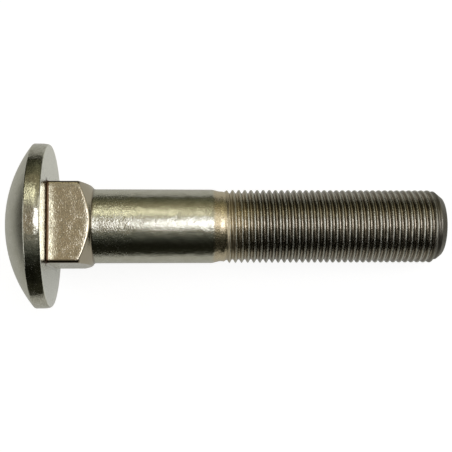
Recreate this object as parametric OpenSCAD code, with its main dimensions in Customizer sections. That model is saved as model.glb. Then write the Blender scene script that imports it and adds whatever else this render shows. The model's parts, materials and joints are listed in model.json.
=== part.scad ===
// Wheel bolt, M18 x 1.5: a forged round-head bolt with a square neck and a rolled thread.
// It is one piece of plated steel, and it lies as it comes to rest: on its rim and its thread.

/* [Head] */
// Diameter of the head
head_d = 39.6; // [34:0.1:60]
// Height of the head, from the bearing face to the top of the dome
head_h = 10.6; // [8:0.1:14]
// Height of the straight rim between the bearing face and the dome
rim_h = 3.6; // [2:0.1:6]
// Radius of the rim's edge at the bearing face
rim_edge_r = 0.8; // [0.2:0.1:1.5]

/* [Square neck] */
// Width of the neck across its flats
neck_w = 19.2; // [18.5:0.1:24]
// Length of the neck, from the bearing face to the end of its chamfer
neck_l = 10.3; // [7:0.1:20]
// Radius of the neck's long edges
neck_edge_r = 0.8; // [0.2:0.1:1.5]
// Angle of the neck's chamfer, from a plane across the bolt
neck_chamfer_angle = 34; // [20:1:45]
// Size of the forged flare where the neck leaves the bearing face
root_flare = 0.5; // [0.2:0.1:1.5]

/* [Shank] */
// Length of the bolt under its head
bolt_l = 95; // [75:1:160]
// Diameter of the plain shank
shank_d = 17.9; // [17:0.1:18.2]
// Distance from the bearing face to the end of the plain shank
shank_end = 38.7; // [24:0.1:60]
// Length of the taper from the plain shank down to the thread blank
blank_taper_l = 1.8; // [0.5:0.1:4]
// Diameter of the blank that the thread is rolled on
blank_d = 17; // [16.6:0.1:17.2]
// Length of plain blank before the first turn of the thread
blank_l = 0.7; // [0.5:0.1:4]

/* [Thread] */
// Outside diameter of the thread
thread_d = 17.8; // [17.5:0.05:18]
// Pitch of the thread
thread_pitch = 1.5; // [1:0.25:2.5]
// Facets around each turn of the thread
thread_facets = 24; // [18:2:30]

/* [End] */
// Diameter of the flat end face
end_d = 14.3; // [12:0.1:15]
// Length of the chamfer between the thread and the end face
end_chamfer_l = 2.2; // [1.5:0.1:4]

/* [Hidden] */
// Facets of the turned forms, and of the small edge radii.
round_facets = 96;
edge_facets = 32;
// How far one form reaches into the next, and the thickness of a slice that a hull starts from.
embed = 0.5;
slice = 0.05;

head_r = head_d / 2;
shank_r = shank_d / 2;
blank_r = blank_d / 2;
thread_r = thread_d / 2;
end_r = end_d / 2;

// The dome is the part of a ball that rises from the rim's upper edge to the head's full height.
dome_h = head_h - rim_h;
dome_r = (head_r * head_r + dome_h * dome_h) / (2 * dome_h);
dome_centre = dome_r - head_h;

// ISO metric thread form, as shares of the pitch, with flanks that meet at 60 degrees.
depth_share = 0.6134;
crest_share = 1 / 8;
flank_angle = 60 / 2;
thread_depth = depth_share * thread_pitch;
flank_l = thread_depth * tan(flank_angle);
crest_l = crest_share * thread_pitch;
crest_end = flank_l + crest_l;
root_start = crest_end + flank_l;
section_z = [0, flank_l, crest_end, root_start];
section_r = [thread_r - thread_depth, thread_r, thread_r, thread_r - thread_depth];
last = len(section_z) - 1;
thread_start = shank_end + blank_taper_l + blank_l;
chamfer_start = bolt_l - end_chamfer_l;
// The thread rises out of the blank over its first turn. Its skin starts just inside the blank.
runout_l = thread_pitch;
seat_r = blank_r - slice;
steps_turn = thread_facets;
steps = floor((bolt_l - thread_start - root_start) / thread_pitch * steps_turn) - 1;
step_z = thread_pitch / steps_turn;

// The bolt lies on the rounded edge of its rim and on the last full crest of its thread.
rest_run = chamfer_start + rim_edge_r;
rest_drop = head_r - rim_edge_r - thread_r;
rest_tilt = atan(rest_drop / rest_run) + asin(rim_edge_r / norm([rest_run, rest_drop]));
rest_height = chamfer_start * sin(rest_tilt) + thread_r * cos(rest_tilt);
rest_back = dome_centre * cos(rest_tilt) - dome_r;
rest_front = bolt_l * cos(rest_tilt) + end_r * sin(rest_tilt);

// Every part of the bolt is drawn upright: the bearing face is at z = 0 and the thread points up.

module head() {
    intersection() {
        translate([0, 0, dome_centre]) sphere(r = dome_r, $fn = round_facets);
        rotate_extrude($fn = round_facets) rim_section();
    }
}

module rim_section() {
    translate([0, -head_h]) square([head_r, head_h - rim_edge_r]);
    translate([0, -head_h]) square([head_r - rim_edge_r, head_h]);
    translate([head_r - rim_edge_r, -rim_edge_r]) circle(r = rim_edge_r, $fn = edge_facets);
}

module neck() {
    intersection() {
        translate([0, 0, -embed]) linear_extrude(neck_l + embed) neck_section();
        rotate_extrude($fn = round_facets) neck_envelope();
    }
}

module neck_section(grow = 0) {
    flat_w = neck_w - 2 * neck_edge_r;
    full_w = neck_w + 2 * grow;
    square([flat_w, full_w], center = true);
    square([full_w, flat_w], center = true);
    for (x = [-1, 1], y = [-1, 1])
        translate([x, y] * flat_w / 2) circle(r = neck_edge_r + grow, $fn = edge_facets);
}

// The neck's root leans outwards to the bearing face all the way round.
module flare() {
    hull() {
        translate([0, 0, -embed]) linear_extrude(embed) neck_section(root_flare);
        translate([0, 0, root_flare - slice]) linear_extrude(slice) neck_section();
    }
}

// The chamfer runs from beyond the neck's corners down to the shank.
module neck_envelope() {
    reach = neck_w;
    chamfer_l = (reach - shank_r) * tan(neck_chamfer_angle);
    polygon([[0, -embed - chamfer_l], [reach, -embed - chamfer_l], [reach, neck_l - chamfer_l],
             [shank_r, neck_l], [0, neck_l]]);
}

module shank() {
    rotate_extrude($fn = round_facets)
        polygon([[0, -embed], [shank_r, -embed], [shank_r, shank_end],
                 [blank_r, shank_end + blank_taper_l], [blank_r, thread_start], [0, thread_start]]);
}

// Radius of the end chamfer's cone at a height.
function cone_r(z) = end_r + (bolt_l - z) * (thread_r - end_r) / end_chamfer_l;

// How far the thread has risen out of the blank at a height, from 0 to 1.
function rise(z) = min(1, max(0, (z - thread_start) / runout_l));

function thread_point(k, j) =
    let (z = thread_start + k * step_z + section_z[j])
    let (full = seat_r + (section_r[j] - seat_r) * rise(z))
    let (r = min(full, cone_r(z)))
    [r * cos(360 * k / steps_turn), r * sin(360 * k / steps_turn), z];

function ring_points(r, z, k0) =
    [for (k = [0 : steps_turn - 1])
        [r * cos(360 * (k + k0) / steps_turn), r * sin(360 * (k + k0) / steps_turn), z]];

// The threaded length is one closed skin: a strip of root, flank, crest and flank wound up the
// bolt, closed by a ring of points at each end.
module thread() {
    n = steps_turn;
    wound = [for (k = [0 : steps], j = [0 : last]) thread_point(k, j)];
    low0 = len(wound);
    high0 = low0 + n;
    points = concat(wound, ring_points(seat_r, thread_start - embed, 0), ring_points(end_r, bolt_l, steps));
    function v(k, j) = k * (last + 1) + j;
    function low(k) = low0 + k % n;
    function high(k) = high0 + k % n;
    function quad(a, b, c, d) = [[a, b, c], [a, c, d]];
    flanks = [for (k = [0 : steps - 1], j = [0 : last - 1])
        each quad(v(k, j), v(k, j + 1), v(k + 1, j + 1), v(k + 1, j))];
    roots = [for (k = [0 : steps - n - 1])
        each quad(v(k, last), v(k + n, 0), v(k + 1 + n, 0), v(k + 1, last))];
    low_skirt = [for (k = [0 : n - 2]) each quad(low(k), v(k, 0), v(k + 1, 0), low(k + 1))];
    low_seam = [low(0), for (j = [0 : last]) v(0, j), v(n, 0)];
    low_close = concat([[low(n - 1), v(n - 1, 0), low(0)]],
        [for (i = [0 : len(low_seam) - 2]) [v(n - 1, 0), low_seam[i + 1], low_seam[i]]]);
    top = steps - n;
    high_seam = [v(top, last), for (j = [0 : last]) v(steps, j), high(0)];
    high_close = concat([[v(top + 1, last), high(0), high(1)]],
        [for (i = [0 : len(high_seam) - 2]) [v(top + 1, last), high_seam[i], high_seam[i + 1]]]);
    high_skirt = [for (k = [1 : n - 1])
        each quad(v(top + k, last), high(k), high(k + 1), v(top + k + 1, last))];
    caps = [[for (k = [0 : n - 1]) low(k)], [for (k = [n - 1 : -1 : 0]) high(k)]];
    polyhedron(points, concat(flanks, roots, low_skirt, low_close, high_close, high_skirt, caps));
}

module lay_down() {
    translate([-(rest_back + rest_front) / 2, 0, rest_height])
        rotate([0, 90 + rest_tilt, 0]) children();
}

module wheel_bolt() {
    color([0.55, 0.52, 0.42]) lay_down() union() {
        head();
        neck();
        flare();
        shank();
        thread();
    }
}

wheel_bolt();
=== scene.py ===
"""Wheel bolt M18 x 1.5: one fine mesh in plated steel, with its floor, its light and its camera.

The bolt is drawn upright in mm and then laid down as the frame's solid lies. The camera sees a white
floor and a white world. The metal is shown a glowing table, a painted pool of light that is pale near
the bolt, and a dim room, which is what the plating of the real bolt reflects.
"""
import json
import math
from collections import namedtuple

import bpy
from mathutils import Matrix, Vector


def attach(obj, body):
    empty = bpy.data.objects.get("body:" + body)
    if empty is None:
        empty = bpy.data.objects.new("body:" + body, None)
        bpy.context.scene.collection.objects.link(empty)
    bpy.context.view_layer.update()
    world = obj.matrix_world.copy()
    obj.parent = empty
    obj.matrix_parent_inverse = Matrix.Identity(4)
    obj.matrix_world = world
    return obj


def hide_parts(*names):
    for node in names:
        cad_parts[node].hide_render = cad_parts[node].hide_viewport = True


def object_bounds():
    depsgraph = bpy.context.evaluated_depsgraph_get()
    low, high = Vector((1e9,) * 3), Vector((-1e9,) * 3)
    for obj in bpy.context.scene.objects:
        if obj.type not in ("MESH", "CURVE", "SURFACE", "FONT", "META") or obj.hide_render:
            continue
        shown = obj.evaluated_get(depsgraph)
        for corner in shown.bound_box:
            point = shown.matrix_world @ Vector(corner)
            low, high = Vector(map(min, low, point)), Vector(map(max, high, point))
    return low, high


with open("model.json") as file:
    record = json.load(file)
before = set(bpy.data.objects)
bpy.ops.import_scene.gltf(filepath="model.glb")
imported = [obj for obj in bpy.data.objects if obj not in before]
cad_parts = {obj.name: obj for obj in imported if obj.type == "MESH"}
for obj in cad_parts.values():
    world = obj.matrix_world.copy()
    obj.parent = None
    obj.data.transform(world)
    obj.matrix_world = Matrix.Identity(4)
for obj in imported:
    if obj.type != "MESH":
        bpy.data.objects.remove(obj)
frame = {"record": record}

cad_low, cad_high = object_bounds()
MM = 0.001
QUARTER_TURN = math.pi / 2

# ---------------------------------------------------------------- the bolt's place and sizes, in mm
mounts = {mount["name"]: mount for mount in frame["record"]["mounts"]}
shank_mount, face_mount = mounts["shank"], mounts["bearing_face"]
ALONG = Vector(shank_mount["axis"]).normalized()
SIDE = Vector((0, 1, 0))
UP = ALONG.cross(SIDE)
FACE_CENTRE = Vector((face_mount["pos_m"][0], 0, face_mount["pos_m"][2]))
SHANK_MIDDLE = (Vector(shank_mount["pos_m"]) - FACE_CENTRE).dot(ALONG) / MM
SHANK_R = shank_mount["dims"]["r_mm"]
NECK_L = SHANK_MIDDLE - shank_mount["dims"]["length_mm"] / 2
SHANK_END = SHANK_MIDDLE + shank_mount["dims"]["length_mm"] / 2
HEAD_R = (cad_high.y - cad_low.y) / 2 / MM

# The head. The half of its rim beside the bearing face is slightly crowned, over a turn in degrees,
# and one more row, RIM_SUPPORT from the crown, keeps the other half flat.
HEAD_H = 10.6
RIM_H = 3.6
RIM_CROWN_R = 4.5
RIM_CROWN_TURN = 17
RIM_EDGE_R = 0.4
RIM_SUPPORT = 0.1
DOME_EDGE_R = 0.35

# The square neck. Its softness is how far round each end of its chamfer the edge is rounded.
NECK_W = 19.2
NECK_EDGE_R = 0.8
NECK_CHAMFER = math.radians(34)
NECK_SOFTNESS = 0.35
ROOT_FILLET = 0.5

# The taper down to the blank, the thread rolled on it, and the chamfered end. The thread's crest and
# depth are shares of its pitch, and THREAD_CUT is the size of the bevels at its crests and roots.
BOLT_L = 95.0
TAPER_L = 1.8
TAPER_SOFTNESS = 0.3
BLANK_R = 8.5
BLANK_L = 0.7
THREAD_R = 8.9
PITCH = 1.5
CREST_SHARE = 1 / 8
DEPTH_SHARE = 0.5413
FLANK_ANGLE = math.radians(30)
THREAD_CUT = 0.055
END_R = 7.15
END_CHAMFER_L = 2.2
END_EDGE_R = 0.35

# What follows from these sizes. Heights are from the bearing face, and the head's are below 0.
DOME_H = HEAD_H - RIM_H
DOME_R = (HEAD_R ** 2 + DOME_H ** 2) / (2 * DOME_H)
DOME_CENTRE = DOME_R - HEAD_H
CROWN_COS = math.cos(math.radians(RIM_CROWN_TURN))
CROWN_SIN = math.sin(math.radians(RIM_CROWN_TURN))
CROWN_START = -RIM_EDGE_R * (1 - CROWN_SIN) - RIM_CROWN_R * CROWN_SIN
FACE_R = HEAD_R - RIM_CROWN_R * (1 - CROWN_COS) - RIM_EDGE_R * CROWN_COS
CHAMFER_SLOPE = math.tan(NECK_CHAMFER)
BLANK_START = SHANK_END + TAPER_L
THREAD_START = BLANK_START + BLANK_L
THREAD_DEPTH = DEPTH_SHARE * PITCH
END_SLOPE = (THREAD_R - END_R) / END_CHAMFER_L

# The bolt is drawn upright, along +Z with its bearing face at 0, and this lays it down as the CAD is.
# Its +X then points down, its +Y to the bolt's left side and its +Z along the lying bolt.
LAY_DOWN = Matrix.Translation(FACE_CENTRE) @ Matrix((-UP, SIDE, ALONG)).transposed().to_4x4()
LAY_DOWN_MM = LAY_DOWN @ Matrix.Scale(MM, 4)


def beside_bolt(along, side, up):
    """A place given from the bearing face's centre, in mm: along the bolt, to its left, up from it."""
    return LAY_DOWN_MM @ Vector((-up, side, along))


def add_object(name, data):
    """A new object, linked into the scene."""
    new_object = bpy.data.objects.new(name, data)
    bpy.context.scene.collection.objects.link(new_object)
    return new_object


# ---------------------------------------------------------------- the rows of the bolt's skin
# A row is a list of (radius, height) pairs, one for each column round the axis.
FLAT_COLUMNS = 34
CORNER_COLUMNS = 6

# How many steps each rounded form is drawn in, and the shares of each flat one that get a row.
DOME_STEPS = 25
DOME_EDGE_STEPS = 5
RIM_STEPS = 6
ROOT_STEPS = 5
NECK_EDGE_STEPS = 5
SHANK_STEPS = 20
SOFT_STEPS = 4
FACE_SHARES = (0.05, 0.25, 0.5, 0.75, 0.92)
FLAT_SHARES = (0.1, 0.5, 0.9)
CHAMFER_SHARES = (0.2, 0.8)
END_SHARES = (0.85, 0.5, 0.15)


def column_angles():
    """Angles round the axis, close together at the neck's four rounded edges."""
    half_flat = math.atan((NECK_W / 2 - NECK_EDGE_R) / (NECK_W / 2))
    corner = QUARTER_TURN - 2 * half_flat
    quarter = [half_flat * (2 * i / FLAT_COLUMNS - 1) for i in range(FLAT_COLUMNS)]
    quarter += [half_flat + corner * i / CORNER_COLUMNS for i in range(CORNER_COLUMNS)]
    return [angle + turn * QUARTER_TURN for turn in range(4) for angle in quarter]


ANGLES = column_angles()
COLUMNS = len(ANGLES)


def rings(points):
    """Round rows, one through each point."""
    return [[point] * COLUMNS for point in points]


def part_way(start, end, share):
    """The point at the given share of the way from start to end."""
    return tuple(s + (e - s) * share for s, e in zip(start, end))


def arc(centre, radius, start, end, steps):
    """Points on an arc. Angles are in degrees: 0 points away from the axis and 90 along it."""
    turns = [math.radians(start + (end - start) * i / steps) for i in range(steps + 1)]
    return [(centre[0] + radius * math.cos(t), centre[1] + radius * math.sin(t)) for t in turns]


def bend(before, corner, after, steps):
    """Points that round a corner softly, from before it to after it."""
    controls = (before, corner, after)
    points = []
    for i in range(steps + 1):
        t = i / steps
        weights = ((1 - t) ** 2, 2 * t * (1 - t), t ** 2)
        points.append(tuple(sum(w * p[n] for w, p in zip(weights, controls)) for n in (0, 1)))
    return points


def square_r(angle, grow=0.0):
    """Distance from the axis to the neck's rounded square, or to one that is larger all round."""
    half, edge = NECK_W / 2 + grow, NECK_EDGE_R + grow
    flat = half - edge
    angle = (angle + QUARTER_TURN / 2) % QUARTER_TURN - QUARTER_TURN / 2
    c, s = math.cos(angle), abs(math.sin(angle))
    on_flat = half * s <= flat * c
    if on_flat:
        return half / c
    return flat * (c + s) + math.sqrt(max(edge ** 2 - flat ** 2 * (c - s) ** 2, 0.0))


def head_rows():
    """The dome from beside its middle, its soft edge, the rim, its crowned half and its edge."""
    blend_r = HEAD_R - DOME_EDGE_R
    blend_z = DOME_CENTRE - math.sqrt((DOME_R - DOME_EDGE_R) ** 2 - blend_r ** 2)
    tilt = math.degrees(math.atan2(blend_r, DOME_CENTRE - blend_z))
    first = tilt / (DOME_STEPS + 1)
    points = arc((0, DOME_CENTRE), DOME_R, first - 90, tilt - 90, DOME_STEPS)
    points += arc((blend_r, blend_z), DOME_EDGE_R, tilt - 90, 0, DOME_EDGE_STEPS)[1:]
    points.append((HEAD_R, CROWN_START - RIM_SUPPORT))
    points += arc((HEAD_R - RIM_CROWN_R, CROWN_START), RIM_CROWN_R, 0, RIM_CROWN_TURN, RIM_STEPS)
    points += arc((FACE_R, -RIM_EDGE_R), RIM_EDGE_R, RIM_CROWN_TURN, 90, RIM_STEPS)[1:]
    return rings(points)


def bearing_rows():
    """The flat bearing face, from the round rim in to the square root of the neck."""
    roots = [square_r(angle, ROOT_FILLET) for angle in ANGLES]
    return [[(FACE_R + (root - FACE_R) * share, 0.0) for root in roots] for share in FACE_SHARES]


def neck_column(angle):
    """One column of the neck: root fillet, flat, softened chamfer edge, chamfer and its foot."""
    column = []
    for i in range(ROOT_STEPS + 1):
        turn = QUARTER_TURN * i / ROOT_STEPS
        outwards = ROOT_FILLET * (1 - math.sin(turn))
        column.append((square_r(angle, outwards), ROOT_FILLET * (1 - math.cos(turn))))

    r = square_r(angle)
    edge_z = NECK_L - (r - SHANK_R) * CHAMFER_SLOPE
    flat_start, flat_end = (r, ROOT_FILLET), (r, edge_z - NECK_SOFTNESS)
    column += [part_way(flat_start, flat_end, share) for share in FLAT_SHARES]

    dr, dz = NECK_SOFTNESS * math.cos(NECK_CHAMFER), NECK_SOFTNESS * math.sin(NECK_CHAMFER)
    chamfer_start, chamfer_end = (r - dr, edge_z + dz), (SHANK_R + dr, NECK_L - dz)
    column += bend(flat_end, (r, edge_z), chamfer_start, NECK_EDGE_STEPS)
    column += [part_way(chamfer_start, chamfer_end, share) for share in CHAMFER_SHARES]
    column += bend(chamfer_end, (SHANK_R, NECK_L), (SHANK_R, NECK_L + NECK_SOFTNESS), SOFT_STEPS)
    return column


def neck_rows():
    """The neck's columns, turned into rows."""
    return [list(row) for row in zip(*[neck_column(angle) for angle in ANGLES])]


def shank_rows():
    """The plain shank and its taper down to the blank."""
    soft = TAPER_SOFTNESS
    slope = (BLANK_R - SHANK_R) / TAPER_L
    points = [(SHANK_R, NECK_L + (SHANK_END - NECK_L) * i / SHANK_STEPS) for i in range(1, SHANK_STEPS)]
    points += bend((SHANK_R, SHANK_END - soft), (SHANK_R, SHANK_END),
                   (SHANK_R + slope * soft, SHANK_END + soft), SOFT_STEPS)
    points += bend((BLANK_R - slope * soft, BLANK_START - soft), (BLANK_R, BLANK_START),
                   (BLANK_R, BLANK_START + soft / 2), SOFT_STEPS)
    return rings(points)


def thread_section():
    """One pitch of the thread from the middle of its root: (distance along, height over the root)."""
    crest, flank = PITCH * CREST_SHARE, THREAD_DEPTH * math.tan(FLANK_ANGLE)
    root_edge = (PITCH - crest) / 2 - flank
    crest_edge = root_edge + flank
    cut_along, cut_up = THREAD_CUT * math.sin(FLANK_ANGLE), THREAD_CUT * math.cos(FLANK_ANGLE)
    half = [
        (0.0, 0.0),
        (root_edge - THREAD_CUT, 0.0),
        (root_edge + cut_along, cut_up),
        (crest_edge - cut_along, THREAD_DEPTH - cut_up),
        (crest_edge + THREAD_CUT, THREAD_DEPTH),
    ]
    return half + [(PITCH - along, height) for along, height in reversed(half[1:])]


SECTION = thread_section()

# Height of the middle of one root in the column at angle 0, which sets how the thread is turned.
ROOT_AT_ZERO = 41.06

# Above this height the end chamfer's cone has cut the thread away down to its root. END_EDGE is how
# far the rounded edge of the end reaches from its corner.
PLAIN_CONE = BOLT_L - (THREAD_R - THREAD_DEPTH - END_R) / END_SLOPE
END_EDGE = END_EDGE_R * math.tan((QUARTER_TURN - math.atan(END_SLOPE)) / 2)

# The squeezed ends of the winding rows stay this far from the plain rows below and above them. The
# upper squeeze also leaves room for a spare height above the highest row.
LOW_SEAM = 0.3
HIGH_SEAM = 0.08
SPARE_HEIGHT = 0.2


def thread_point(z, height):
    """The radius of a point of the thread, which rises out of the blank and ends in the chamfer."""
    rise = min(1.0, max(0.0, (z - THREAD_START) / PITCH))
    full = BLANK_R + (THREAD_R - THREAD_DEPTH + height - BLANK_R) * rise
    return min(full, END_R + (BOLT_L - z) * END_SLOPE)


def thread_rows():
    """Rows that climb one pitch a turn. The spare turn at each end is squeezed into a plain stretch."""
    first = ROOT_AT_ZERO + PITCH * ANGLES[0] / math.tau - PITCH
    rows_needed = math.ceil((PLAIN_CONE - first) / PITCH * len(SECTION))
    top = first + (rows_needed / len(SECTION) + 1) * PITCH + SPARE_HEIGHT
    low_end, high_end = BLANK_START + LOW_SEAM, BOLT_L - END_EDGE - HIGH_SEAM
    rows = []
    for i in range(rows_needed + 1):
        turn, j = divmod(i, len(SECTION))
        along, height = SECTION[j]
        row = []
        for angle in ANGLES:
            z = first + turn * PITCH + along + PITCH * (angle - ANGLES[0]) / math.tau
            if z < THREAD_START:
                z = low_end + (z - first) * (THREAD_START - low_end) / (THREAD_START - first)
            if z > PLAIN_CONE:
                z = PLAIN_CONE + (z - PLAIN_CONE) * (high_end - PLAIN_CONE) / (top - PLAIN_CONE)
            row.append((thread_point(z, height), z))
        rows.append(row)
    return rows


def end_rows():
    """The soft edge between the end chamfer and the flat end, and the end."""
    normal = math.degrees(math.atan(END_SLOPE))
    points = arc((END_R - END_EDGE, BOLT_L - END_EDGE_R), END_EDGE_R, normal, 90, SOFT_STEPS)
    points += [(END_R * share, BOLT_L) for share in END_SHARES]
    return rings(points)


# ---------------------------------------------------------------- the skin as one closed mesh
class Skin:
    """The corners of the bolt's surface, laid down and in metres, and the faces between them."""

    def __init__(self):
        self.corners = []
        self.faces = []

    def add(self, rows):
        """Add the corners of some rows. Gives the number of the first."""
        start = len(self.corners)
        for row in rows:
            for (r, z), angle in zip(row, ANGLES):
                self.corners.append(LAY_DOWN_MM @ Vector((r * math.cos(angle), r * math.sin(angle), z)))
        return start

    def strip(self, low, high, columns):
        """Faces between two rows, given by their first corners."""
        for k in range(columns):
            k2 = (k + 1) % COLUMNS
            self.faces.append((low + k, low + k2, high + k2, high + k))

    def plain(self, start, rows):
        """Faces between all of some rows that were added together."""
        for i in range(len(rows) - 1):
            self.strip(start + i * COLUMNS, start + (i + 1) * COLUMNS, COLUMNS)

    def close(self, start, z, facing):
        """A fan of faces from a row to a new corner on the axis. It faces up (1) or down (-1)."""
        middle = len(self.corners)
        self.corners.append(LAY_DOWN_MM @ Vector((0, 0, z)))
        for k in range(COLUMNS):
            pair = (start + k, start + (k + 1) % COLUMNS)
            self.faces.append((*pair[::facing], middle))


def build_bolt():
    """Plain rows up to the thread, the thread's winding rows, and plain rows at the end."""
    skin = Skin()
    lower = head_rows() + bearing_rows() + neck_rows() + shank_rows()
    helix = thread_rows()
    upper = end_rows()
    low, mid, high = skin.add(lower), skin.add(helix), skin.add(upper)
    skin.plain(low, lower)
    skin.plain(high, upper)
    for i in range(len(helix) - 1):
        skin.strip(mid + i * COLUMNS, mid + (i + 1) * COLUMNS, COLUMNS - 1)

    # Past the last column each winding row goes on as the row that is one pitch higher.
    step, last = len(SECTION), len(helix) - 1
    right = [mid + i * COLUMNS for i in range(last + 1)]
    left = [corner + COLUMNS - 1 for corner in right]
    for i in range(last - step):
        skin.faces.append((left[i], right[i + step], right[i + step + 1], left[i + 1]))

    # The plain rows meet the lowest and the highest winding row, with one wide face at each seam.
    below = low + (len(lower) - 1) * COLUMNS
    skin.strip(below, right[0], COLUMNS - 1)
    skin.strip(right[last], high, COLUMNS - 1)
    skin.faces.append([below + COLUMNS - 1, below] + right[:step + 1] + [left[0]])
    upper_seam = [left[last - step], right[last], high, high + COLUMNS - 1]
    skin.faces.append(upper_seam + left[last:last - step:-1])

    skin.close(low, -HEAD_H, -1)
    skin.close(high + (len(upper) - 1) * COLUMNS, BOLT_L, 1)
    mesh = bpy.data.meshes.new("wheel_bolt_steel")
    mesh.from_pydata(skin.corners, [], skin.faces)
    mesh.shade_smooth()
    mesh.validate()
    return mesh


# ---------------------------------------------------------------- shader nodes
def empty_tree(owner):
    """The node tree of a new material or world, with nothing in it yet."""
    owner.use_nodes = True
    owner.node_tree.nodes.clear()
    return owner.node_tree


def add_node(tree, kind, inputs=None, **settings):
    """A shader node. Its inputs go by name or number, and each is a value or another node's output."""
    node = tree.nodes.new(kind)
    for name, value in settings.items():
        setattr(node, name, value)
    for name, value in (inputs or {}).items():
        if isinstance(value, bpy.types.NodeSocket):
            tree.links.new(value, node.inputs[name])
        else:
            node.inputs[name].default_value = value
    return node


def calc(tree, operation, *values):
    """The result of a Math node."""
    return add_node(tree, "ShaderNodeMath", dict(enumerate(values)), operation=operation).outputs[0]


def product(tree, first, *others):
    """All the values multiplied."""
    result = first
    for value in others:
        result = calc(tree, "MULTIPLY", result, value)
    return result


def between(tree, value, low, high, from_value=0.0, to_value=1.0):
    """A smooth step from from_value to to_value as value goes from low to high."""
    inputs = {
        "Value": value,
        "From Min": low,
        "From Max": high,
        "To Min": from_value,
        "To Max": to_value,
    }
    node = add_node(tree, "ShaderNodeMapRange", inputs, interpolation_type="SMOOTHSTEP")
    return node.outputs["Result"]


def band(tree, value, rise, fall):
    """1 between two spans of value, with a smooth step over each. Each span is given as (0 at, 1 at)."""
    return product(tree, between(tree, value, *rise), between(tree, value, *fall))


def distance(tree, x, y):
    """How far a point is from 0, 0."""
    pair = add_node(tree, "ShaderNodeCombineXYZ", {"X": x, "Y": y}).outputs[0]
    return add_node(tree, "ShaderNodeVectorMath", {0: pair}, operation="LENGTH").outputs["Value"]


def noise(tree, place, scale, detail, roughness):
    """Noise from 0 to 1. The scale is in blotches a mm."""
    inputs = {"Vector": place, "Scale": scale, "Detail": detail, "Roughness": roughness}
    return add_node(tree, "ShaderNodeTexNoise", inputs).outputs["Fac"]


# A Mix node has sockets of the same names for numbers, vectors and colours. These are the colours'.
MIX_SHARE, MIX_FIRST, MIX_SECOND = 0, 6, 7
MIX_RESULT = 2


def blend_colour(tree, share, first, second):
    """The first colour where share is 0 and the second where it is 1."""
    inputs = {MIX_SHARE: share, MIX_FIRST: first, MIX_SECOND: second}
    return add_node(tree, "ShaderNodeMix", inputs, data_type="RGBA").outputs[MIX_RESULT]


def ramp(tree, share, stops):
    """The colour at share on a ramp with the given (share, colour) stops."""
    node = add_node(tree, "ShaderNodeValToRGB", {"Fac": share})
    elements = node.color_ramp.elements
    while len(elements) < len(stops):
        # A new stop starts in the middle, and is moved to its place below.
        elements.new(0.5)
    for element, (position, colour) in zip(elements, stops):
        element.position = position
        element.color = (*colour, 1)
    return node.outputs["Color"]


# ---------------------------------------------------------------- plated steel: its areas
# Each span is (where the area is absent, where it is full), in mm. Heights are from the bearing face.
# The plating is fresh and gold at the thread's start, and the shank is calm, with less grain, before it.
THREAD_IN = (THREAD_START + 0.2, THREAD_START + 1.4)
FRESH_THREAD = (THREAD_START + 11, THREAD_START + 1)
END_IN = (BOLT_L - END_CHAMFER_L - 2, BOLT_L - END_CHAMFER_L + 0.4)
GOLD_RISE = (SHANK_END - 0.3, SHANK_END + 0.8)
GOLD_FALL = (THREAD_START + 5.8, THREAD_START + 0.8)
SHANK_CALM = (NECK_L + 2.7, NECK_L + 13.7)
NECK_RISE = (0.05, 0.2)
NECK_FALL = (NECK_L + 0.2, NECK_L - 0.2)
ABOVE_ROOT = (1.4, 3.4)
FACE_RISE = (-0.25, -0.05)
FACE_FALL = (0.2, 0.05)
RIM_RISE = (-RIM_H - 0.1, -RIM_H + 0.1)
RIM_FALL = (0.0, -0.2)
DOME_IN = (-RIM_H + 0.2, -RIM_H - 0.2)

# These are depths under the thread's crests or under the end chamfer's cone.
SUNKEN_IN = (0.05, 0.25)
CREST_IN = (0.05, 0.015)
GROOVE_IN = (THREAD_DEPTH - 0.14, THREAD_DEPTH - 0.03)

# Painted shade, with dirt, in the crease at the neck's root: how far it reaches from the neck's sides,
# and its heights. Below the neck's upper side it is weaker. (X of the upright bolt points down on the
# lying one.)
ROOT_OUT = (0.9, 0.5)
ROOT_RISE = (-0.3, -0.1)
ROOT_FALL = (0.75, 0.5)
ROOT_DOWN = (1.2 - NECK_W / 2, 0.4 - NECK_W / 2)
ROOT_DOWN_SHARE = 0.25

# Painted shade at the neck's foot, where its chamfer meets the shank, and darkening along its two upper
# edges.
FOOT_IN = (0.5, 0.15)
FOOT_OUT = (SHANK_R + 0.35, SHANK_R + 0.1)
FOOT_SHADE = 0.4
EDGE_IN = (1.0, 0.5)
EDGE_DARKENING = 0.8

# The neck's chamfer is part of a cone with its tip at this height. How far another point is from the
# chamfer is told by the tip's height of a like cone through that point.
CHAMFER_TIP = NECK_L + SHANK_R * CHAMFER_SLOPE
CHAMFER_IN = (CHAMFER_TIP - 0.5, CHAMFER_TIP - 0.1)
CHAMFER_FALL = (NECK_L + 0.1, NECK_L - 0.1)


def upright_place(tree):
    """The place on the upright bolt, in mm."""
    lying = add_node(tree, "ShaderNodeTexCoord").outputs["Object"]
    inputs = {
        "Vector": lying,
        "Location": FACE_CENTRE,
        "Rotation": LAY_DOWN.to_euler(),
        "Scale": (MM, MM, MM),
    }
    return add_node(tree, "ShaderNodeMapping", inputs, vector_type="TEXTURE").outputs["Vector"]


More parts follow.
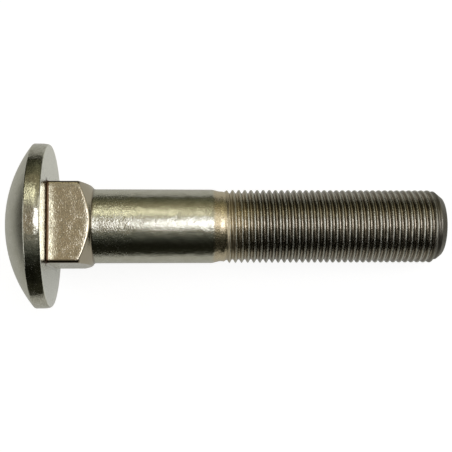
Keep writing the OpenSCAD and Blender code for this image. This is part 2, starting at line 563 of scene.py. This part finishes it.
def stains(tree, x, y, z, r, in_neck):
    """Dark lines: painted shade with dirt at the neck's root, painted shade at its foot, and darkening
    along its two upper edges.
    """
    beside_x, beside_y = calc(tree, "ABSOLUTE", x), calc(tree, "ABSOLUTE", y)
    from_square = calc(tree, "SUBTRACT", calc(tree, "MAXIMUM", beside_x, beside_y), NECK_W / 2)
    root = product(tree,
                   between(tree, from_square, *ROOT_OUT),
                   between(tree, z, *ROOT_FALL),
                   between(tree, z, *ROOT_RISE),
                   between(tree, x, *ROOT_DOWN, ROOT_DOWN_SHARE, 1.0))

    from_foot = calc(tree, "ABSOLUTE", calc(tree, "SUBTRACT", z, NECK_L))
    foot = product(tree, between(tree, from_foot, *FOOT_IN), between(tree, r, *FOOT_OUT))
    root_and_foot = calc(tree, "MAXIMUM", root, product(tree, foot, FOOT_SHADE))

    below_edge = calc(tree, "ADD", x, NECK_W / 2)
    beside_edge = calc(tree, "SUBTRACT", beside_y, NECK_W / 2)
    from_edge = distance(tree, below_edge, beside_edge)
    edges = product(tree, between(tree, from_edge, *EDGE_IN), in_neck, EDGE_DARKENING)
    return calc(tree, "MAXIMUM", root_and_foot, edges)


def steel_areas(tree, place):
    """The share from 0 to 1 of each named area of the bolt's skin."""
    x, y, z = add_node(tree, "ShaderNodeSeparateXYZ", {"Vector": place}).outputs
    r = distance(tree, x, y)
    area = {
        "thread": between(tree, z, *THREAD_IN),
        "fresh": between(tree, z, *FRESH_THREAD),
        "end": between(tree, z, *END_IN),
        "gold": band(tree, z, GOLD_RISE, GOLD_FALL),
        "neck": band(tree, z, NECK_RISE, NECK_FALL),
        "face": band(tree, z, FACE_RISE, FACE_FALL),
        "rim": band(tree, z, RIM_RISE, RIM_FALL),
        "dome": between(tree, z, *DOME_IN),
    }

    cone = calc(tree, "MULTIPLY_ADD", z, -END_SLOPE, END_R + BOLT_L * END_SLOPE)
    sunk = calc(tree, "SUBTRACT", calc(tree, "MINIMUM", cone, THREAD_R), r)
    area["sunken"] = product(tree, area["thread"], between(tree, sunk, *SUNKEN_IN))
    area["crest"] = product(tree, area["thread"], between(tree, sunk, *CREST_IN))
    area["groove"] = between(tree, sunk, *GROOVE_IN)

    cone_tip = calc(tree, "MULTIPLY_ADD", r, CHAMFER_SLOPE, z)
    on_cone = between(tree, cone_tip, *CHAMFER_IN)
    area["chamfer"] = product(tree, on_cone, between(tree, z, *CHAMFER_FALL))

    not_thread = calc(tree, "SUBTRACT", 1.0, area["thread"])
    area["calm"] = product(tree, between(tree, z, *SHANK_CALM), not_thread)
    area["above_root"] = between(tree, z, *ABOVE_ROOT)
    area["stain"] = stains(tree, x, y, z, r, area["neck"])
    return area


# ---------------------------------------------------------------- plated steel: its look
PLATING = (0.56, 0.555, 0.475, 1)
PLATING_DARK = (0.51, 0.505, 0.42, 1)
# The bearing face's paler plating is a painted sheen: it brightens the reflection the face shows.
PALE_PAINTED_SHEEN = (0.89, 0.90, 0.82, 1)
PLATING_WARM = (0.58, 0.545, 0.42, 1)
PLATING_WORN = (0.30, 0.285, 0.225, 1)
PLATING_TAN = (0.50, 0.45, 0.345, 1)
PLATING_GOLD = (0.62, 0.54, 0.38, 1)
# The thread's flanks and grooves are darker brown: darker plating, with painted shade for the thread's
# hollows.
FLANK_SHADE_BROWN = (0.15, 0.13, 0.095, 1)
GROOVE_SHADE_BROWN = (0.31, 0.275, 0.215, 1)
# Dark brown for painted shade and dirt in the neck's creases, and for darkening along its upper edges.
SHADE_AND_STAIN_BROWN = (0.09, 0.055, 0.03, 1)
WORN_CREST = (0.46, 0.46, 0.42, 1)
# The end's own dull grey, which also paints shade over the thread's last turns.
END_GREY_AND_SHADE = (0.175, 0.165, 0.14, 1)

# Noise patterns, and patches that are cut from noise: they run from least, where the noise is at low,
# to most, where it is at high.
Pattern = namedtuple("Pattern", "scale detail roughness")
Patches = namedtuple("Patches", "scale detail roughness low high least most")
GRAIN = Pattern(3.2, 1.6, 0.7)
WAVES = Pattern(0.45, 1.0, 0.5)
MOTTLE = Patches(0.35, 3.0, 0.6, low=0.35, high=0.65, least=0.0, most=1.0)
SPECKS = Patches(2.6, 2.0, 0.7, low=0.45, high=0.7, least=0.0, most=0.6)
STREAKS = Patches(1.6, 3.0, 0.7, low=0.42, high=0.66, least=0.0, most=0.75)
POLISH = Patches(1.3, 3.0, 0.6, low=0.3, high=0.7, least=0.09, most=0.13)
FROST = Patches(2.0, 2.0, 0.75, low=0.52, high=0.68, least=0.0, most=0.2)

# The rim's streaks lie round it. The last two say how much gold and how much grey cover what is there.
STREAKS_STRETCH = (0.5, 0.5, 2.4)
GOLD_COVER = 0.6
GREY_COVER = 0.85

# How much lower the grain is in some areas, how high the waves are against it, and what a height of 1
# comes to in metres.
GRAIN_LOSS = {"neck": 0.5, "dome": 0.8, "rim": 0.4, "thread": 0.3, "calm": 0.1}
WAVES_HEIGHT = 1.4
BUMP_DISTANCE = 0.062 * MM

# How much frost the calm part of the shank loses, and how much rougher some areas are.
FROST_LOSS = 0.35
ROUGHER = {"dome": 0.18, "sunken": 0.10, "crest": 0.10, "end": 0.2, "gold": 0.12}


def patches(tree, place, look):
    """Soft patches cut from noise."""
    fac = noise(tree, place, look.scale, look.detail, look.roughness)
    return between(tree, fac, look.low, look.high, look.least, look.most)


def lowered(tree, share, loss):
    """1 where share is 0, and less by loss where share is 1."""
    return calc(tree, "MULTIPLY_ADD", share, -loss, 1.0)


def steel_colour(tree, place, area):
    """Mottled olive plating, gold by the thread, worn on the crests and dark in the grooves, where the
    brown is also painted shade. Painted shade darkens the neck's creases and the thread's last turns,
    and a painted sheen brightens the bearing face.
    """
    inputs = {0: place, 1: STREAKS_STRETCH}
    stretched = add_node(tree, "ShaderNodeVectorMath", inputs, operation="MULTIPLY").outputs[0]
    streaks = product(tree, patches(tree, stretched, STREAKS), area["rim"])
    specks = product(tree, area["neck"], patches(tree, place, SPECKS), area["above_root"])

    # Darker plating with painted shade in the thread's flanks and grooves.
    sunken = blend_colour(tree, area["groove"], FLANK_SHADE_BROWN, GROOVE_SHADE_BROWN)
    sunken = blend_colour(tree, product(tree, area["fresh"], GOLD_COVER), sunken, PLATING_GOLD)
    crest = blend_colour(tree, area["fresh"], WORN_CREST, PLATING)

    coats = (
        # Painted sheen: paler plating that brightens the bearing face's reflection.
        (area["face"], PALE_PAINTED_SHEEN),
        (area["neck"], PLATING_WARM),
        (calc(tree, "MAXIMUM", specks, streaks), PLATING_WORN),
        (area["chamfer"], PLATING_TAN),
        (area["gold"], PLATING_GOLD),
        # Painted shade, with darker plating, in the thread's flanks and grooves.
        (area["sunken"], sunken),
        (area["crest"], crest),
        # The end's dull grey, and painted shade that dims the thread's last turns.
        (product(tree, area["end"], GREY_COVER), END_GREY_AND_SHADE),
        # Painted shade, with dirt, at the neck's root and foot, and darkening along its two upper edges.
        (area["stain"], SHADE_AND_STAIN_BROWN),
    )
    colour = blend_colour(tree, patches(tree, place, MOTTLE), PLATING, PLATING_DARK)
    for share, coat in coats:
        colour = blend_colour(tree, share, colour, coat)
    return colour


def steel_roughness(tree, place, area):
    """Polished, with frosted patches, and rougher on the dome, the thread, the gold and the end."""
    forged = calc(tree, "MAXIMUM", area["neck"], area["dome"])
    frost = product(tree,
                    patches(tree, place, FROST),
                    calc(tree, "SUBTRACT", 1.0, forged),
                    lowered(tree, area["calm"], FROST_LOSS))
    rough = calc(tree, "ADD", patches(tree, place, POLISH), frost)
    for name, more in ROUGHER.items():
        rough = calc(tree, "ADD", rough, product(tree, area[name], more))
    return rough


def steel_bump(tree, place, area):
    """Fine forged grain, lower in some areas, on long soft waves that the dome hasn't."""
    grain_shares = [lowered(tree, area[name], loss) for name, loss in GRAIN_LOSS.items()]
    grain = product(tree, noise(tree, place, *GRAIN), product(tree, *grain_shares))
    waves = product(tree, noise(tree, place, *WAVES), calc(tree, "SUBTRACT", 1.0, area["dome"]))
    height = calc(tree, "MULTIPLY_ADD", waves, WAVES_HEIGHT, grain)
    inputs = {"Height": height, "Strength": 1.0, "Distance": BUMP_DISTANCE}
    return add_node(tree, "ShaderNodeBump", inputs).outputs["Normal"]


def plated_steel():
    """Steel with an olive zinc plating, whose colour also holds painted shade and a painted sheen."""
    material = bpy.data.materials.new("plated_steel")
    tree = empty_tree(material)
    place = upright_place(tree)
    area = steel_areas(tree, place)
    inputs = {
        "Base Color": steel_colour(tree, place, area),
        "Metallic": 1.0,
        "Roughness": steel_roughness(tree, place, area),
        "Normal": steel_bump(tree, place, area),
    }
    shader = add_node(tree, "ShaderNodeBsdfPrincipled", inputs)
    add_node(tree, "ShaderNodeOutputMaterial", {"Surface": shader.outputs["BSDF"]})
    return material


# How strongly the larger faces decide the shading where faces meet, from 1 to 100. At 100 the flats
# look flat right up to their edges.
LARGE_FACE_WEIGHT = 100


def place_bolt():
    """The bolt as one piece, which stands for the frame's solid."""
    piece = add_object("wheel_bolt_steel", build_bolt())
    shading = piece.modifiers.new("flats_stay_flat", "WEIGHTED_NORMAL")
    shading.weight = LARGE_FACE_WEIGHT
    piece.data.materials.append(plated_steel())
    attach(piece, "root")
    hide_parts("wheel_bolt")


# ---------------------------------------------------------------- floor
WHITE = (1, 1, 1, 1)
BLACK = (0, 0, 0, 1)
FLOOR_SIZE = 6.0

# To the camera the floor glows nearly white, and a little light on it is left to show the shadow.
SEEN_GREY = (0.25, 0.25, 0.25, 1)
SEEN_GLOW = 0.88

# To the metal it is a glowing table, a painted pool of light that is pale near the bolt and dark past
# it.
# Each span is (where it is pale, where it is dark), in metres: to the bolt's left along Y, to its right,
# and past either end along X.
TABLE_NEAR = (0.36, 0.36, 0.345, 1)
TABLE_FAR = (0.02, 0.02, 0.013, 1)
TABLE_GLOW = 0.8
TABLE_LEFT = (0.05, 0.20)
TABLE_RIGHT = (-0.066, -0.078)
TABLE_ENDS = (0.10, 0.14)


def add_glow(tree, shader, colour, strength):
    """A shader with light of its own added."""
    glow = add_node(tree, "ShaderNodeEmission", {"Color": colour, "Strength": strength}).outputs[0]
    return add_node(tree, "ShaderNodeAddShader", {0: shader, 1: glow}).outputs[0]


def floor_paper():
    """White paper with a faint shadow to the camera, and to the metal a table that glows with a painted
    pool of light.
    """
    material = bpy.data.materials.new("floor_paper")
    tree = empty_tree(material)
    place = add_node(tree, "ShaderNodeNewGeometry").outputs["Position"]
    x, y, _ = add_node(tree, "ShaderNodeSeparateXYZ", {"Vector": place}).outputs
    past_left = between(tree, y, *TABLE_LEFT)
    past_right = between(tree, y, *TABLE_RIGHT)
    past_ends = between(tree, calc(tree, "ABSOLUTE", x), *TABLE_ENDS)
    far = calc(tree, "MAXIMUM", calc(tree, "MAXIMUM", past_left, past_right), past_ends)
    # The painted pool of light: pale near the bolt, dark past the spans.
    painted_pool = blend_colour(tree, far, TABLE_NEAR, TABLE_FAR)
    table = add_node(tree, "ShaderNodeBsdfDiffuse", {"Color": painted_pool}).outputs[0]
    table = add_glow(tree, table, painted_pool, TABLE_GLOW)
    seen = add_node(tree, "ShaderNodeBsdfDiffuse", {"Color": SEEN_GREY}).outputs[0]
    seen = add_glow(tree, seen, WHITE, SEEN_GLOW)
    camera_ray = add_node(tree, "ShaderNodeLightPath").outputs["Is Camera Ray"]
    both = add_node(tree, "ShaderNodeMixShader", {"Fac": camera_ray, 1: table, 2: seen}).outputs[0]
    add_node(tree, "ShaderNodeOutputMaterial", {"Surface": both})
    return material


def build_floor():
    """A square floor under the bolt."""
    reach = FLOOR_SIZE / 2
    corners = [(x * reach, y * reach, 0) for x, y in ((-1, -1), (1, -1), (1, 1), (-1, 1))]
    mesh = bpy.data.meshes.new("floor")
    mesh.from_pydata(corners, [], [(0, 1, 2, 3)])
    mesh.materials.append(floor_paper())
    floor = add_object("floor", mesh)


# ---------------------------------------------------------------- room
# The room's colours by angle round the bolt, in degrees: from straight down at -180 past its right side
# at -90 and straight up at 0 to its left side at 90, and on down.
ROOM = (
    (-180, (0.30, 0.30, 0.28)),
    (-104, (0.10, 0.10, 0.08)),
    (-96, (0.02, 0.02, 0.014)),
    (-66, (0.010, 0.010, 0.006)),
    (-52, (0.025, 0.026, 0.020)),
    (-46, (0.055, 0.058, 0.046)),
    (-39, (0.10, 0.105, 0.09)),
    (-32, (0.16, 0.165, 0.14)),
    (-20, (0.32, 0.31, 0.27)),
    (-13, (0.46, 0.40, 0.31)),
    (2, (0.52, 0.43, 0.32)),
    (10, (0.38, 0.32, 0.24)),
    (17, (0.50, 0.46, 0.38)),
    (26, (0.60, 0.565, 0.45)),
    (48, (0.48, 0.44, 0.30)),
    (53, (0.35, 0.31, 0.20)),
    (63, (0.36, 0.32, 0.21)),
    (72, (0.20, 0.19, 0.12)),
    (84, (0.145, 0.145, 0.095)),
    (106, (0.17, 0.17, 0.13)),
)

# Past the bolt's head the room is darker, by HEAD_END_SHADE. A direction's lean is how far it goes
# along X for each step out from the bolt, and the shade fades in over HEAD_END_LEAN.
HEAD_END_SHADE = 0.7
HEAD_END_LEAN = (-0.135, -0.155)
LEAST_STEP = 0.001


def build_room():
    """A dim room for the metal to reflect. The camera sees plain white instead."""
    world = bpy.data.worlds.new("studio")
    bpy.context.scene.world = world
    tree = empty_tree(world)
    direction = add_node(tree, "ShaderNodeTexCoord").outputs["Generated"]
    x, y, z = add_node(tree, "ShaderNodeSeparateXYZ", {"Vector": direction}).outputs
    turn = calc(tree, "ARCTAN2", y, z)
    share = calc(tree, "ADD", calc(tree, "DIVIDE", turn, math.tau), 0.5)
    walls = ramp(tree, share, [((angle + 180) / 360, colour) for angle, colour in ROOM])
    step_out = calc(tree, "MAXIMUM", distance(tree, y, z), LEAST_STEP)
    lean = calc(tree, "DIVIDE", x, step_out)
    shade = between(tree, lean, *HEAD_END_LEAN, 0.0, HEAD_END_SHADE)
    walls = blend_colour(tree, shade, walls, BLACK)
    camera_ray = add_node(tree, "ShaderNodeLightPath").outputs["Is Camera Ray"]
    colour = blend_colour(tree, camera_ray, walls, WHITE)
    shader = add_node(tree, "ShaderNodeBackground", {"Color": colour, "Strength": 1.0}).outputs[0]
    add_node(tree, "ShaderNodeOutputWorld", {"Surface": shader})


# ---------------------------------------------------------------- lamps
# The lights past the bolt's ends: how far out and up their middles are and how long they are, in
# metres, and how far they turn down, in degrees.
END_LIGHT_OUT = 0.4
END_LIGHT_UP = 0.34
END_LIGHT_LENGTH = 0.4
END_LIGHT_TURN = 50


def add_light(name, length, width, radiance, colour=(1.0, 1.0, 1.0)):
    """A rectangular light, in metres. Its power follows from its size and from how bright it looks."""
    light = bpy.data.lights.new(name, "AREA")
    light.shape = "RECTANGLE"
    light.size = length
    light.size_y = width
    light.color = colour
    light.energy = radiance * math.pi * light.size * light.size_y
    return add_object(name, light)


def add_panel(name, along, turn, distance, width, colour, radiance):
    """A soft light that is turned round the bolt's axis from above, by degrees, and faces it. In mm."""
    lamp = add_light(name, (along[1] - along[0]) * MM, width * MM, radiance, colour)
    angle = math.radians(turn)
    outwards = UP * math.cos(angle) + SIDE * math.sin(angle)
    sideways = SIDE * math.cos(angle) - UP * math.sin(angle)
    middle = beside_bolt(sum(along) / 2, 0, 0) + outwards * distance * MM
    facing = Matrix((ALONG, sideways, outwards)).transposed().to_4x4()
    lamp.matrix_world = Matrix.Translation(middle) @ facing


def add_end_light(name, side, y, width, radiance):
    """A large soft light past one end of the bolt, -1 for the head's, which faces it from above."""
    lamp = add_light(name, END_LIGHT_LENGTH, width, radiance)
    lamp.location = (side * END_LIGHT_OUT, y, END_LIGHT_UP)
    lamp.rotation_euler = (0, math.radians(side * END_LIGHT_TURN), 0)


def build_lamps():
    """The two end lights, the bright lamp over the shank and the cream panel to its left."""
    add_end_light("head_side_light", side=-1, y=-0.14, width=0.7, radiance=1.2)
    add_end_light("thread_side_light", side=1, y=0.13, width=0.4, radiance=0.6)
    add_panel("overhead_lamp", along=(18, 209), turn=1.4, distance=400, width=170,
              colour=(0.86, 0.89, 1.0), radiance=3.6)
    add_panel("cream_panel", along=(-100, 28), turn=37.5, distance=520, width=165,
              colour=(1.0, 0.98, 0.76), radiance=1.8)


# ---------------------------------------------------------------- camera
# The photograph was taken from above the shank, a little towards the bolt's right side. The camera's
# place is in mm from the bearing face's centre. Its turns, in radians, start from a camera that looks
# straight down on the bolt, with its head to the left. The lens's axis meets the picture below its
# middle, and the pixels are those of a picture PICTURE_PIXELS wide.
CAMERA_ALONG, CAMERA_RIGHT, CAMERA_UP = 29.47, 25.55, 211.39
CAMERA_PAN, CAMERA_TILT, CAMERA_ROLL = -0.0596, 0.0730, 0.0069
FOCAL_PIXELS = 872.2
LENS_AXIS_BELOW_MIDDLE_PIXELS = 41.5
PICTURE_PIXELS = 452
SENSOR_WIDTH = 36.0
NEAREST_SEEN = 0.01


def build_camera():
    """The photograph's camera."""
    data = bpy.data.cameras.new("camera")
    data.sensor_width = SENSOR_WIDTH
    data.lens = FOCAL_PIXELS * SENSOR_WIDTH / PICTURE_PIXELS
    data.shift_y = LENS_AXIS_BELOW_MIDDLE_PIXELS / PICTURE_PIXELS
    data.clip_start = NEAREST_SEEN
    pan = Matrix.Rotation(CAMERA_PAN, 3, "Z")
    tilt = Matrix.Rotation(CAMERA_TILT, 3, "X")
    roll = Matrix.Rotation(CAMERA_ROLL, 3, "Y")
    right, forward, up = (Matrix((ALONG, -UP, SIDE)).transposed() @ (pan @ tilt @ roll)).col
    place = beside_bolt(CAMERA_ALONG, -CAMERA_RIGHT, CAMERA_UP)
    camera = add_object("camera", data)
    camera.matrix_world = Matrix.Translation(place) @ Matrix((right, up, -forward)).transposed().to_4x4()
    bpy.context.scene.camera = camera


bpy.context.scene.view_settings.view_transform = "Standard"
build_camera()
build_floor()
build_room()
build_lamps()
place_bolt()
